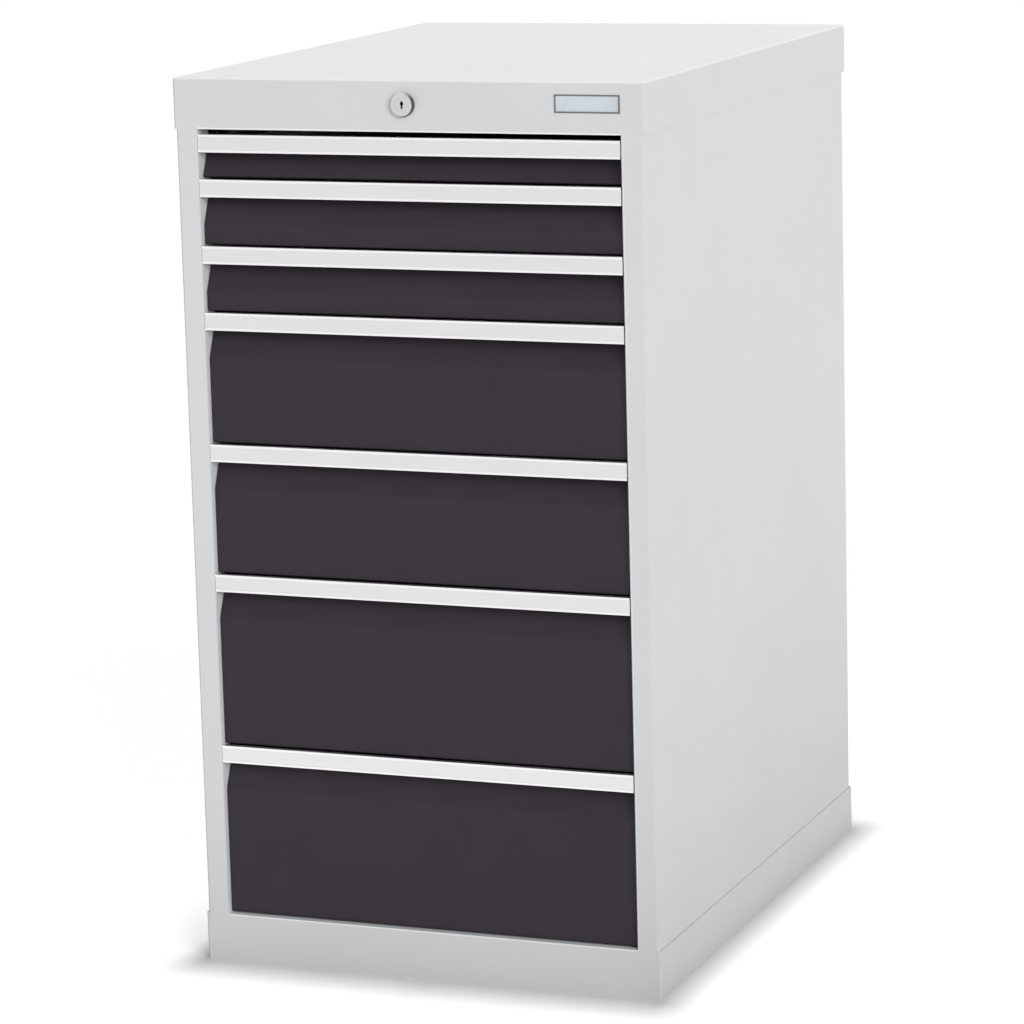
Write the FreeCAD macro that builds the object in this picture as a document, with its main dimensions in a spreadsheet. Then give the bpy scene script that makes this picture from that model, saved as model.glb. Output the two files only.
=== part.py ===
"""Drawer cabinet: a folded-sheet housing, seven full-extension drawers and a central lock.

X runs to the right, -Y to the front and +Z up. The origin is the middle of the footprint, on the floor.
Lengths are in millimetres. A depth is counted backwards from the front plane of the housing.
"""
import FreeCAD, Part
import os
import re
import Sketcher
from FreeCAD import Placement, Rotation, Vector

DRAWERS = range(1, 8)

# Edges nearer to a place than this lie on it.
EDGE_TOLERANCE = 0.01

SIZES = (
    # Housing
    ("cab_width", 555, "width over the cap and the plinth"),
    ("cab_depth", 736, "depth over the cap and the plinth"),
    ("plinth_height", 56, "floor to the top of the plinth"),
    ("cap_height", 57, "height of the cap's skirts and of the header"),
    ("top_gap", 6, "open slit between the header and the top drawer"),
    ("proud", 2.5, "step of the cap and the plinth over the walls"),
    ("wall_sheet", 1.5, "sheet of the housing"),
    ("inner_bend", 1, "inner radius of a fold"),
    ("stile_width", 27.5, "cap's edge to the drawer opening"),
    ("stile_return", 30, "depth of the fold behind the stile's inner edge"),
    ("stile_hook", 12, "last fold of the stile, back towards the wall"),
    ("rear_flange", 20, "flange of a side wall along the rear"),
    ("rear_lip", 15, "flanges at the top of the rear wall and the rear of the floor pan"),
    ("header_flange", 18, "return flange under the header"),
    ("channel_lip", 15, "top flange of the header channel"),
    ("side_gap", 1, "gap between parts that stand between the stiles and the stiles"),
    ("plinth_flange", 35, "inward flanges of the plinth"),
    # Uprights
    ("post_width", 30, "width of an upright's web"),
    ("post_lip", 10, "welding lip of an upright"),
    ("post_gap", 3, "locking bar to the front uprights"),
    ("rear_post_gap", 8, "rear uprights to the rear of the trays"),
    ("slot_pitch", 25, "spacing of the slots in an upright"),
    ("slot_width", 4, "width of an upright's slot"),
    ("slot_height", 12, "height of an upright's slot"),
    # Drawers, top to bottom
    ("front_1", 50, "height taken by drawer 1"),
    ("front_2", 75, "height taken by drawer 2"),
    ("front_3", 75, "height taken by drawer 3"),
    ("front_4", 150, "height taken by drawer 4"),
    ("front_5", 150, "height taken by drawer 5"),
    ("front_6", 200, "height taken by drawer 6"),
    ("front_7", 200, "height taken by drawer 7"),
    ("front_gap", 1, "gap under a drawer front"),
    ("front_sheet", 1.2, "sheet of a drawer front"),
    ("front_setback", 8, "depth of the upright face of a drawer front"),
    ("front_depth", 32, "depth of the rear of a drawer front, where the tray starts"),
    ("front_side_gap", 2, "gap beside a drawer front"),
    ("grip_depth", 30, "depth of the sloping face at its top"),
    ("grip_rise", 52, "drawer's top down to the fold of the sloping face"),
    # Handle strips
    ("strip_height", 20, "height of a handle strip"),
    ("strip_side_gap", 0.5, "gap beside a handle strip"),
    ("strip_wall", 2.2, "thickness of a handle strip"),
    ("strip_lip", 2, "thickness of its top leg"),
    ("strip_leg", 7, "depth of its top leg"),
    ("clip_leg", 5.5, "depth of the clip leg under the front's flange"),
    ("clip_wall", 1.4, "thickness of the clip leg"),
    ("clip_gap", 0.2, "clearance of the front's flange in the clip"),
    ("label_lip", 2.8, "height of the lips above and below the label channel"),
    ("label_recess", 0.8, "depth of the label channel"),
    ("curl_depth", 5, "depth of the finger edge at the bottom"),
    ("curl_wall", 1.5, "thickness of the finger edge"),
    ("lip_round", 0.6, "rounding of the strip's front edges"),
    # Trays
    ("rail_space", 19.5, "room for the slides between a tray and the stile's inner edge"),
    ("rear_space", 90, "rear of the trays to the rear of the cabinet"),
    ("tray_sheet", 1, "sheet of a tray"),
    ("tray_rise", 5, "drawer's base to the underside of its tray"),
    ("tray_drop", 11, "drawer's top down to the rim of its tray"),
    ("hem_width", 6, "inward hem round a tray's rim"),
    # Slides
    ("rail_height", 20, "height of the outer and inner members"),
    ("rail_rise", 5, "drawer's base to the underside of its slides"),
    ("rail_sheet", 1.5, "sheet of the slides"),
    ("rail_reach", 8, "width of the outer and inner members"),
    ("race_gap", 1, "room for the balls above and below the middle member"),
    ("web_gap", 1.5, "middle member to the webs of the other members"),
    ("slide_inset", 2, "front of the inner member behind the tray's front"),
    ("buffer_length", 12, "rubber buffer at the rear end of a slide"),
    ("buffer_height", 12, "height of a buffer"),
    ("buffer_bevel", 3, "cut corners of a buffer's nose"),
    ("buffer_width", 5, "thickness of a buffer"),
    ("buffer_gap", 0.5, "middle member to its buffer"),
    ("screw_radius", 4, "circumradius of a hexagon head"),
    ("screw_head", 2, "height of a hexagon head"),
    # Lock
    ("lock_drop", 27, "cap's top down to the lock's axis"),
    ("rosette_radius", 13.5, "round face of the lock"),
    ("rosette_height", 6, "how far the lock's face stands out"),
    ("rosette_chamfer", 1.2, "chamfer of the lock's face"),
    ("lock_radius", 9.5, "barrel of the lock's housing"),
    ("lock_length", 28, "barrel's depth behind the front plane"),
    ("lock_hole_gap", 0.3, "clearance of the barrel in the header"),
    ("plug_radius", 7, "plug that the key turns"),
    ("plug_gap", 0.05, "running clearance of the plug"),
    ("plug_sink", 0.5, "plug's face behind the rosette's face"),
    ("plug_dish", 0.9, "how far the plug's face is hollowed"),
    ("plug_slope", 2.5, "width of the slope round the hollow of the plug's face"),
    ("plug_tail", 2, "plug's end behind the barrel"),
    ("key_width", 2, "width of the keyway"),
    ("key_height", 8.5, "height of the keyway"),
    ("key_depth", 15, "depth of the keyway"),
    ("key_eye", 2, "radius of the keyway's round opening"),
    ("key_eye_rise", 1.3, "round opening above the lock's axis"),
    ("key_eye_depth", 4, "depth of the round opening"),
    ("nut_flats", 24, "lock nut across flats"),
    ("nut_height", 5, "lock nut's thickness"),
    ("thread_gap", 0.1, "lock nut to the barrel"),
    ("crank", 8, "cam pin's distance from the lock's axis"),
    ("pin_radius", 2.5, "cam pin and bar pin"),
    ("pin_play", 0.7, "play of a pin in its slot"),
    ("pin_proud", 2, "end of a pin beyond the link"),
    ("cam_radius", 12.5, "cam disc"),
    ("cam_height", 3, "cam disc's thickness"),
    ("cam_gap", 0.5, "cam disc to the link"),
    ("link_sheet", 2.5, "sliding link's thickness"),
    ("link_height", 22, "sliding link's height"),
    ("link_drop", 4, "link's lower edge below the lock's axis"),
    ("link_end", 18, "link's left end from the lock's axis"),
    ("link_tail", 5, "link's right end beyond the bar"),
    ("link_space", 4, "link to the wall of the header channel"),
    ("bar_sheet", 2, "locking bar's thickness"),
    ("bar_width", 16, "locking bar's width"),
    ("bar_gap", 1, "locking bar behind the link"),
    ("bar_side_gap", 2, "locking bar outside the stile's inner edge"),
    ("bar_pin_rise", 7, "bar pin above the lock's axis"),
    ("bar_top", 4, "locking bar's end above its pin"),
    ("bar_foot", 12, "locking bar's lower end above the plinth"),
    ("hook_sheet", 2.5, "hook's thickness"),
    ("hook_height", 7, "hook's height"),
    ("hook_reach", 12.5, "hook's length from the bar"),
    ("hook_bevel", 2.5, "hook's cut corner"),
    ("hook_play", 3, "closed drawer's peg behind the hook"),
    ("hook_gap", 1.5, "open hook above the peg"),
    ("peg_radius", 2, "catch peg of a drawer"),
    ("peg_length", 15, "catch peg's length from the tray"),
    ("peg_gap", 1.5, "catch peg above the slide"),
    ("guide_wall", 2, "wall of a guide"),
    ("guide_gap", 0.3, "clearance in a guide"),
    ("guide_height", 10, "length of a guide"),
    ("guide_drop", 4, "top of a bar guide below its drawer's top"),
    ("link_guide_1", 70, "first link guide from the lock's axis"),
    ("link_guide_2", 190, "second link guide from the lock's axis"),
    # Nameplate
    ("plate_width", 75, "window of the nameplate"),
    ("plate_height", 20, "window's height"),
    ("plate_inset", 27, "window to the cap's right edge"),
    ("plate_drop", 14, "window's upper edge below the cap's top"),
    ("plate_gap", 0.2, "clearance of the nameplate's frame in the window"),
    ("frame_rim", 1.3, "rim of the nameplate's frame"),
    ("frame_height", 2.4, "frame's thickness"),
    ("frame_proud", 0.6, "how far the frame stands out"),
    ("frame_back", 0.6, "frame's back wall"),
    ("plate_sheet", 0.8, "nameplate's thickness"),
)

PLACES = [
    ("half_width", "cab_width / 2"),
    ("half_depth", "cab_depth / 2"),
    ("wall_x", "half_width - proud"),
    ("inner_x", "wall_x - wall_sheet"),
    ("opening_x", "half_width - stile_width"),
    ("rear_y", "half_depth - proud"),
    ("outer_bend", "inner_bend + wall_sheet"),
    ("crest_7", "plinth_height + front_7"),
    ("crest_6", "crest_7 + front_6"),
    ("crest_5", "crest_6 + front_5"),
    ("crest_4", "crest_5 + front_4"),
    ("crest_3", "crest_4 + front_3"),
    ("crest_2", "crest_3 + front_2"),
    ("crest_1", "crest_2 + front_1"),
    ("header_z", "crest_1 + top_gap"),
    ("cab_height", "header_z + cap_height"),
    ("under_cap", "cab_height - wall_sheet"),
    ("post_height", "under_cap - plinth_height"),
    # Drawer fronts
    ("flange_drop", "strip_lip + front_sheet"),
    ("grip_slope", "(grip_depth - front_setback) / (grip_rise - flange_drop)"),
    ("slant_wall", "front_sheet * sqrt(1 + grip_slope^2)"),
    ("fold_drop", "(slant_wall - front_sheet) / grip_slope"),
    ("front_bend", "inner_bend + front_sheet"),
    # Trays and slides
    ("tray_x", "opening_x - rail_space"),
    ("tray_y", "front_depth - half_depth"),
    ("tray_length", "cab_depth - front_depth - rear_space"),
    ("tray_rear", "half_depth - rear_space"),
    ("rail_z", "rail_rise + rail_height / 2"),
    ("web_x", "opening_x - rail_space / 2"),
    ("race_height", "rail_height - 2 * rail_sheet - 2 * race_gap"),
    # Lock
    ("lock_z", "cab_height - lock_drop"),
    ("cam_depth", "lock_length + plug_tail"),
    ("link_depth", "cam_depth + cam_height + cam_gap"),
    ("link_rear", "link_depth + link_sheet"),
    ("channel_depth", "link_rear + link_space"),
    ("bar_depth", "link_rear + bar_gap"),
    ("bar_x", "opening_x + bar_side_gap"),
    ("hook_depth", "bar_depth + (bar_width - hook_sheet) / 2"),
    ("peg_depth", "hook_depth + hook_sheet + hook_play + peg_radius"),
    ("peg_rise", "rail_rise + rail_height + peg_gap + peg_radius"),
    ("hook_rise", "peg_rise + peg_radius + hook_gap"),
    ("stroke", "2 * peg_radius + hook_gap"),
    ("post_depth", "bar_depth + bar_width + post_gap"),
    ("crank_side", "crank / sqrt(2)"),
    ("link_travel", "2 * crank_side"),
    ("pin_room", "pin_radius + pin_play"),
    ("link_slope", "stroke / link_travel"),
    ("link_room", "pin_room * sqrt(1 + link_slope^2)"),
    ("pin_x", "bar_x + bar_sheet / 2"),
    ("plate_x", "half_width - plate_inset - plate_width / 2"),
    ("plate_z", "cab_height - plate_drop - plate_height / 2"),
]

document = FreeCAD.newDocument("DrawerCabinet")
cells = {}
parts = []


# Sheets and formulas

def fill_sheet(name, rows):
    """Make a spreadsheet with one named cell for each row."""
    sheet = document.addObject("Spreadsheet::Sheet", name)
    for number, (alias, content, meaning) in enumerate(rows, start=1):
        sheet.set("A%d" % number, alias)
        sheet.set("B%d" % number, content)
        sheet.set("C%d" % number, meaning)
        sheet.setAlias("B%d" % number, alias)
        cells[alias] = name + "." + alias
    return sheet


def formula(text):
    """Point the plain names of a formula at the cells that hold them."""
    return re.sub(r"[a-z]\w*", lambda word: cells.get(word.group(), word.group()), text)


def value(text):
    return float(sizes.evalExpression(formula(text)))


def bind(thing, prop, text):
    thing.setExpression(prop, formula(text))


def set_place(thing, x="0", y="0", z="0"):
    for axis, text in (("x", x), ("y", y), ("z", z)):
        bind(thing, "Placement.Base." + axis, text)


# Sketches

def draw(name, body, plane, offset="0"):
    """A sketch on one of the body's own origin planes, moved along the plane's normal by offset."""
    sketch = body.newObject("Sketcher::SketchObject", name)
    support = [item for item in body.Origin.OriginFeatures if item.Role == plane][0]
    sketch.AttachmentSupport = [(support, "")]
    sketch.MapMode = "FlatFace"
    bind(sketch, "AttachmentOffset.Base.z", offset)
    return sketch


def outline(sketch, corners):
    """A closed outline; each corner is a pair of formulas, counted from the sketch's origin."""
    first = sketch.GeometryCount
    points = [Vector(value(x), value(y), 0) for x, y in corners]
    count = len(points)
    for index in range(count):
        line = Part.LineSegment(points[index], points[(index + 1) % count])
        sketch.addGeometry(line, False)
    for index, (x, y) in enumerate(corners):
        edge = first + index
        following = first + (index + 1) % count
        sketch.addConstraint(Sketcher.Constraint("Coincident", edge, 2, following, 1))
        for kind, text in (("DistanceX", x), ("DistanceY", y)):
            datum = sketch.addConstraint(Sketcher.Constraint(kind, -1, 1, edge, 1, value(text)))
            bind(sketch, "Constraints[%d]" % datum, text)


def rectangle(sketch, left, bottom, right, top):
    outline(sketch, [(left, bottom), (right, bottom), (right, top), (left, top)])


def circle(sketch, x, y, radius):
    centre = Vector(value(x), value(y), 0)
    index = sketch.addGeometry(Part.Circle(centre, Vector(0, 0, 1), value(radius)), False)
    for kind, text in (("DistanceX", x), ("DistanceY", y)):
        datum = sketch.addConstraint(Sketcher.Constraint(kind, -1, 1, index, 3, value(text)))
        bind(sketch, "Constraints[%d]" % datum, text)
    datum = sketch.addConstraint(Sketcher.Constraint("Radius", index, value(radius)))
    bind(sketch, "Constraints[%d]" % datum, radius)


# Features

def make_body(label, x="0", y="0", z="0"):
    body = document.addObject("PartDesign::Body", label)
    set_place(body, x, y, z)
    return body


def pad(body, sketch, length, side="Up"):
    """Thicken a sketch Up or Down its normal, or to Both sides."""
    feature = body.newObject("PartDesign::Pad", sketch.Name + "Pad")
    feature.Profile = sketch
    feature.SideType = "Symmetric" if side == "Both" else "One side"
    feature.Reversed = side == "Down"
    bind(feature, "Length", length)
    document.recompute()
    return feature


def pocket(body, sketch, length):
    """Cut a sketch half its length to each side, and check that the cut meets material."""
    before = body.Shape.Volume
    feature = body.newObject("PartDesign::Pocket", sketch.Name + "Pocket")
    feature.Profile = sketch
    feature.SideType = "Symmetric"
    bind(feature, "Length", length)
    document.recompute()
    if not body.Shape.Volume < before:
        raise RuntimeError(sketch.Name + " cuts nothing")
    return feature


def fillet(body, base, radius, is_wanted):
    """Round the edges of a feature that is_wanted picks by their bounding boxes."""
    names = []
    for number, edge in enumerate(base.Shape.Edges, start=1):
        if is_wanted(edge.BoundBox):
            names.append("Edge%d" % number)
    feature = body.newObject("PartDesign::Fillet", base.Name + "Fillet")
    feature.Base = (base, names)
    bind(feature, "Radius", radius)
    document.recompute()
    return feature


def close(first, second):
    return abs(first - second) < EDGE_TOLERANCE


def is_vertical(box):
    return box.XLength < EDGE_TOLERANCE and box.YLength < EDGE_TOLERANCE


def mirror_copy(source, label):
    """The left-hand copy of a right-hand piece."""
    copy = document.addObject("Part::Mirroring", label)
    copy.Source = source
    copy.Normal = Vector(1, 0, 0)
    return copy


def extrude(label, corners, length, plane, x="0", y="0", z="0"):
    """A closed outline thickened evenly to both sides of the XZ or YZ plane, then moved."""
    sketch = document.addObject("Sketcher::SketchObject", label + "Outline")
    turn = Rotation(Vector(1, 0, 0), 90)
    if plane == "YZ":
        turn = Rotation(Vector(0, 0, 1), 90) * turn
    sketch.Placement = Placement(Vector(), turn)
    outline(sketch, corners)
    solid = document.addObject("Part::Extrusion", label)
    solid.Base = sketch
    solid.DirMode = "Normal"
    solid.Symmetric = True
    solid.Solid = True
    bind(solid, "LengthFwd", length)
    set_place(solid, x, y, z)
    return solid


def combine(kind, label, base, tool):
    """What a Part::Cut or a Part::Common leaves of two solids."""
    result = document.addObject(kind, label)
    result.Base = base
    result.Tool = tool
    return result


def group(label, members):
    compound = document.addObject("Part::Compound", label)
    compound.Links = members
    return compound


def keep(label, thing):
    """List a finished sub-part under the label that names its file."""
    thing.Label = label
    parts.append(thing)


# Housing

def make_top_cap():
    """The folded top, side skirts and header with its return flange, and the rear skirt welded on."""
    body = make_body("CapSheet", z="header_z")
    sketch = draw("CapPlan", body, "XY_Plane")
    rectangle(sketch, "-half_width", "-half_depth", "half_width", "half_depth")
    block = pad(body, sketch, "cap_height")
    top = value("cap_height")
    rear_y = value("half_depth")

    def is_fold(box):
        return not close(box.YMin, rear_y) and (is_vertical(box) or close(box.ZMin, top))

    fillet(body, block, "outer_bend", is_fold)
    inside = draw("CapInside", body, "XY_Plane")
    rectangle(inside, "wall_sheet - half_width", "wall_sheet - half_depth",
              "half_width - wall_sheet", "half_depth - wall_sheet")
    pocket(body, inside, "2 * (cap_height - wall_sheet)")
    flange = draw("HeaderFlange", body, "XY_Plane")
    rectangle(flange, "side_gap - opening_x", "wall_sheet - half_depth",
              "opening_x - side_gap", "header_flange + wall_sheet - half_depth")
    pad(body, flange, "wall_sheet")
    holes = draw("HeaderHoles", body, "XZ_Plane", "half_depth")
    circle(holes, "0", "cap_height - lock_drop", "lock_radius + lock_hole_gap")
    rectangle(holes, "plate_x - plate_width / 2", "cap_height - plate_drop - plate_height",
              "plate_x + plate_width / 2", "cap_height - plate_drop")
    pocket(body, holes, "4 * wall_sheet")
    skirt_space = document.addObject("Part::Box", "RearSkirtSpace")
    bind(skirt_space, "Length", "2 * half_width")
    bind(skirt_space, "Width", "outer_bend")
    bind(skirt_space, "Height", "cap_height")
    set_place(skirt_space, "-half_width", "half_depth - outer_bend", "header_z")
    front = combine("Part::Cut", "CapFront", body, skirt_space)
    rear_skirt = combine("Part::Common", "CapRearSkirt", body, skirt_space)
    keep("top_cap", group("Cap", [front, rear_skirt]))


def make_side_panels():
    """A wall folded round its front edge into the stile, its return and a hook."""
    body = make_body("side_panel_right", z="plinth_height")
    sketch = draw("SidePlan", body, "XY_Plane")
    outline(sketch, [
        ("wall_x - rear_flange", "rear_y"),
        ("wall_x", "rear_y"),
        ("wall_x", "-half_depth"),
        ("opening_x", "-half_depth"),
        ("opening_x", "stile_return - half_depth"),
        ("opening_x + stile_hook", "stile_return - half_depth"),
        ("opening_x + stile_hook", "stile_return - wall_sheet - half_depth"),
        ("opening_x + wall_sheet", "stile_return - wall_sheet - half_depth"),
        ("opening_x + wall_sheet", "wall_sheet - half_depth"),
        ("inner_x", "wall_sheet - half_depth"),
        ("inner_x", "rear_y - wall_sheet"),
        ("wall_x - rear_flange", "rear_y - wall_sheet"),
    ])
    wall = pad(body, sketch, "post_height")
    outer_x = value("wall_x")
    front_y = -value("half_depth")
    stile_x = value("opening_x")

    def is_fold(box):
        outer = close(box.XMin, outer_x)
        stile = close(box.XMin, stile_x) and close(box.YMin, front_y)
        return is_vertical(box) and (outer or stile)

    fillet(body, wall, "outer_bend", is_fold)
    notch = draw("HeaderNotch", body, "XY_Plane", "post_height")
    outline(notch, [
        ("opening_x - side_gap", "-half_depth - side_gap"),
        ("wall_x + side_gap", "-half_depth - side_gap"),
        ("wall_x + side_gap", "wall_sheet - half_depth"),
        ("inner_x", "wall_sheet - half_depth"),
        ("inner_x", "stile_return + side_gap - half_depth"),
        ("opening_x - side_gap", "stile_return + side_gap - half_depth"),
    ])
    pocket(body, notch, "2 * (under_cap - header_z)")
    keep("side_panel_right", body)
    keep("side_panel_left", mirror_copy(body, "side_panel_left"))


def make_rear_panel():
    """The rear wall, behind which the side walls' flanges lie, with a flange under the cap."""
    body = make_body("rear_panel")
    sketch = draw("RearSection", body, "YZ_Plane")
    outline(sketch, [
        ("rear_y - wall_sheet", "plinth_height + wall_sheet"),
        ("rear_y - wall_sheet", "under_cap"),
        ("rear_y - wall_sheet - rear_lip", "under_cap"),
        ("rear_y - wall_sheet - rear_lip", "under_cap - wall_sheet"),
        ("rear_y - 2 * wall_sheet", "under_cap - wall_sheet"),
        ("rear_y - 2 * wall_sheet", "plinth_height + wall_sheet"),
    ])
    pad(body, sketch, "2 * (inner_x - side_gap)", "Both")
    keep("rear_panel", body)


def make_plinth():
    """A folded frame on the floor, with inward flanges above and below."""
    body = make_body("plinth")
    sketch = draw("PlinthPlan", body, "XY_Plane")
    rectangle(sketch, "-half_width", "-half_depth", "half_width", "half_depth")
    block = pad(body, sketch, "plinth_height")
    fillet(body, block, "outer_bend", is_vertical)
    inside = draw("PlinthInside", body, "XY_Plane", "plinth_height / 2")
    rectangle(inside, "wall_sheet - half_width", "wall_sheet - half_depth",
              "half_width - wall_sheet", "half_depth - wall_sheet")
    pocket(body, inside, "plinth_height - 2 * wall_sheet")
    window = draw("PlinthWindow", body, "XY_Plane", "plinth_height / 2")
    rectangle(window, "plinth_flange - half_width", "plinth_flange - half_depth",
              "half_width - plinth_flange", "half_depth - plinth_flange")
    pocket(body, window, "plinth_height + 2 * wall_sheet")
    keep("plinth", body)


def make_floor_pan():
    """The sheet over the plinth, with a flange up the rear wall."""
    body = make_body("floor_pan", z="plinth_height")
    sketch = draw("PanSection", body, "YZ_Plane")
    outline(sketch, [
        ("front_depth - half_depth", "0"),
        ("rear_y - 2 * wall_sheet", "0"),
        ("rear_y - 2 * wall_sheet", "rear_lip"),
        ("rear_y - 3 * wall_sheet", "rear_lip"),
        ("rear_y - 3 * wall_sheet", "wall_sheet"),
        ("front_depth - half_depth", "wall_sheet"),
    ])
    pad(body, sketch, "2 * (opening_x - side_gap)", "Both")
    keep("floor_pan", body)


def make_header_channel():
    """The channel that stiffens the header, closes it below and guides the link of the lock."""
    body = make_body("header_channel", y="-half_depth")
    sketch = draw("ChannelSection", body, "YZ_Plane")
    outline(sketch, [
        ("wall_sheet", "header_z + wall_sheet"),
        ("channel_depth + wall_sheet", "header_z + wall_sheet"),
        ("channel_depth + wall_sheet", "under_cap - wall_sheet"),
        ("channel_depth + channel_lip", "under_cap - wall_sheet"),
        ("channel_depth + channel_lip", "under_cap"),
        ("channel_depth", "under_cap"),
        ("channel_depth", "header_z + 2 * wall_sheet"),
        ("wall_sheet", "header_z + 2 * wall_sheet"),
    ])
    pad(body, sketch, "2 * (opening_x - side_gap)", "Both")
    keep("header_channel", body)


def make_upright(label, front):
    """A hat-section upright: its slotted web faces the drawers and its lips lie on the wall."""
    body = make_body(label, y=front, z="plinth_height")
    sketch = draw(label + "Plan", body, "XY_Plane")
    outline(sketch, [
        ("inner_x", "-post_lip"),
        ("inner_x - wall_sheet", "-post_lip"),
        ("inner_x - wall_sheet", "0"),
        ("opening_x", "0"),
        ("opening_x", "post_width"),
        ("inner_x - wall_sheet", "post_width"),
        ("inner_x - wall_sheet", "post_width + post_lip"),
        ("inner_x", "post_width + post_lip"),
        ("inner_x", "post_width - wall_sheet"),
        ("opening_x + wall_sheet", "post_width - wall_sheet"),
        ("opening_x + wall_sheet", "wall_sheet"),
        ("inner_x", "wall_sheet"),
    ])
    pad(body, sketch, "post_height")
    slot = draw(label + "Slot", body, "YZ_Plane", "opening_x")
    rectangle(slot, "(post_width - slot_width) / 2", "slot_pitch - slot_height / 2",
              "(post_width + slot_width) / 2", "slot_pitch + slot_height / 2")
    cut = pocket(body, slot, "4 * wall_sheet")
    row = body.newObject("PartDesign::LinearPattern", label + "Slots")
    row.Originals = [cut]
    row.Direction = (slot, ["V_Axis"])
    row.Mode = "Spacing"
    bind(row, "Offset", "slot_pitch")
    bind(row, "Occurrences", "floor((crest_1 - plinth_height) / slot_pitch) - 1")
    body.Tip = row
    document.recompute()
    keep(label + "_right", body)
    keep(label + "_left", mirror_copy(body, label + "_left"))


# Drawers

def make_drawer_front(number):
    """A folded front: upright face, then the sloping face of the finger grip and a top flange."""
    crest = "crest_%d" % number
    body = make_body("drawer_front_%d" % number, y="-half_depth", z=crest)
    foot = "front_gap - front_%d" % number
    rim = "-strip_lip"
    under_rim = "-flange_drop"
    slope = "front_setback + grip_slope * (%s + grip_rise)"
    inner_slope = "slant_wall + " + slope
    if value("front_%d - front_gap" % number) > value("grip_rise + front_bend"):
        face = [("front_setback", foot), ("front_setback", "-grip_rise")]
        back = [("front_setback + front_sheet", foot + " + front_sheet"),
                ("front_setback + front_sheet", "-grip_rise - fold_drop")]
    else:
        face = [(slope % foot, foot)]
        back = [(inner_slope % (foot + " + front_sheet"), foot + " + front_sheet")]
    shell = draw("FrontOutline%d" % number, body, "YZ_Plane")
    outline(shell, [("front_depth", foot)] + face + [
        (slope % under_rim, under_rim),
        ("strip_wall + clip_gap", under_rim),
        ("strip_wall + clip_gap", rim),
        ("front_depth", rim),
    ])
    block = pad(body, shell, "2 * (opening_x - front_side_gap)", "Both")
    length = value("opening_x - front_side_gap")
    folds = (value(foot), -value("grip_rise"))

    def is_fold(box):
        on_face = box.XLength > length and box.YMax < value("grip_depth")
        return on_face and any(close(box.ZMin, fold) for fold in folds)

    fillet(body, block, "front_bend", is_fold)
    hollow = draw("FrontHollow%d" % number, body, "YZ_Plane")
    outline(hollow, [("front_depth + front_sheet", foot + " + front_sheet")] + back + [
        (inner_slope % under_rim, under_rim),
        ("front_depth + front_sheet", under_rim),
    ])
    pocket(body, hollow, "2 * (opening_x - front_side_gap - front_sheet)")
    keep("drawer_front_%d" % number, body)


def make_handle_strip(number):
    """An extruded handle strip, clipped on the front's top flange, with a channel for labels."""
    body = make_body("handle_strip_%d" % number, y="-half_depth", z="crest_%d" % number)
    sketch = draw("StripSection%d" % number, body, "YZ_Plane")
    outline(sketch, [
        ("0", "0"),
        ("strip_leg", "0"),
        ("strip_leg", "-strip_lip"),
        ("strip_wall", "-strip_lip"),
        ("strip_wall", "-flange_drop - clip_gap"),
        ("clip_leg", "-flange_drop - clip_gap"),
        ("clip_leg", "-flange_drop - clip_gap - clip_wall"),
        ("strip_wall", "-flange_drop - clip_gap - clip_wall"),
        ("strip_wall", "curl_wall - strip_height"),
        ("curl_depth", "curl_wall - strip_height"),
        ("curl_depth", "-strip_height"),
        ("0", "-strip_height"),
        ("0", "label_lip - strip_height"),
        ("label_recess", "label_lip - strip_height"),
        ("label_recess", "-label_lip"),
        ("0", "-label_lip"),
    ])
    bar = pad(body, sketch, "2 * (opening_x - strip_side_gap)", "Both")
    length = value("opening_x - strip_side_gap")
    lips = (0, -value("label_lip"), value("label_lip - strip_height"), -value("strip_height"))

    def is_lip(box):
        on_face = close(box.YMax, 0) and box.XLength > length
        return on_face and any(close(box.ZMin, lip) for lip in lips)

    fillet(body, bar, "lip_round", is_lip)
    keep("handle_strip_%d" % number, body)


def tray_floor(number):
    """The height of a tray's underside."""
    return "crest_%d - front_%d + tray_rise" % (number, number)


def tray_rim(number):
    """The height of a tray's rim over its underside."""
    return "front_%d - tray_rise - tray_drop" % number


def tray_end(number, side, seat):
    """A wall between the trough's sides, with a hem turned inwards; seat gives y from its outer face."""
    body = make_body("TrayEnd%s%d" % (side, number), y="tray_y")
    bind(body, "Placement.Base.z", tray_floor(number))
    rim = tray_rim(number)
    wall = draw("TrayEndWall%s%d" % (side, number), body, "YZ_Plane")
    rectangle(wall, seat("0"), "tray_sheet", seat("tray_sheet"), rim + " - tray_sheet")
    pad(body, wall, "2 * (tray_x - tray_sheet)", "Both")
    hem = draw("TrayEndHem%s%d" % (side, number), body, "YZ_Plane")
    rectangle(hem, seat("0"), rim + " - tray_sheet", seat("hem_width"), rim)
    pad(body, hem, "2 * (tray_x - hem_width)", "Both")
    return body


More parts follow.
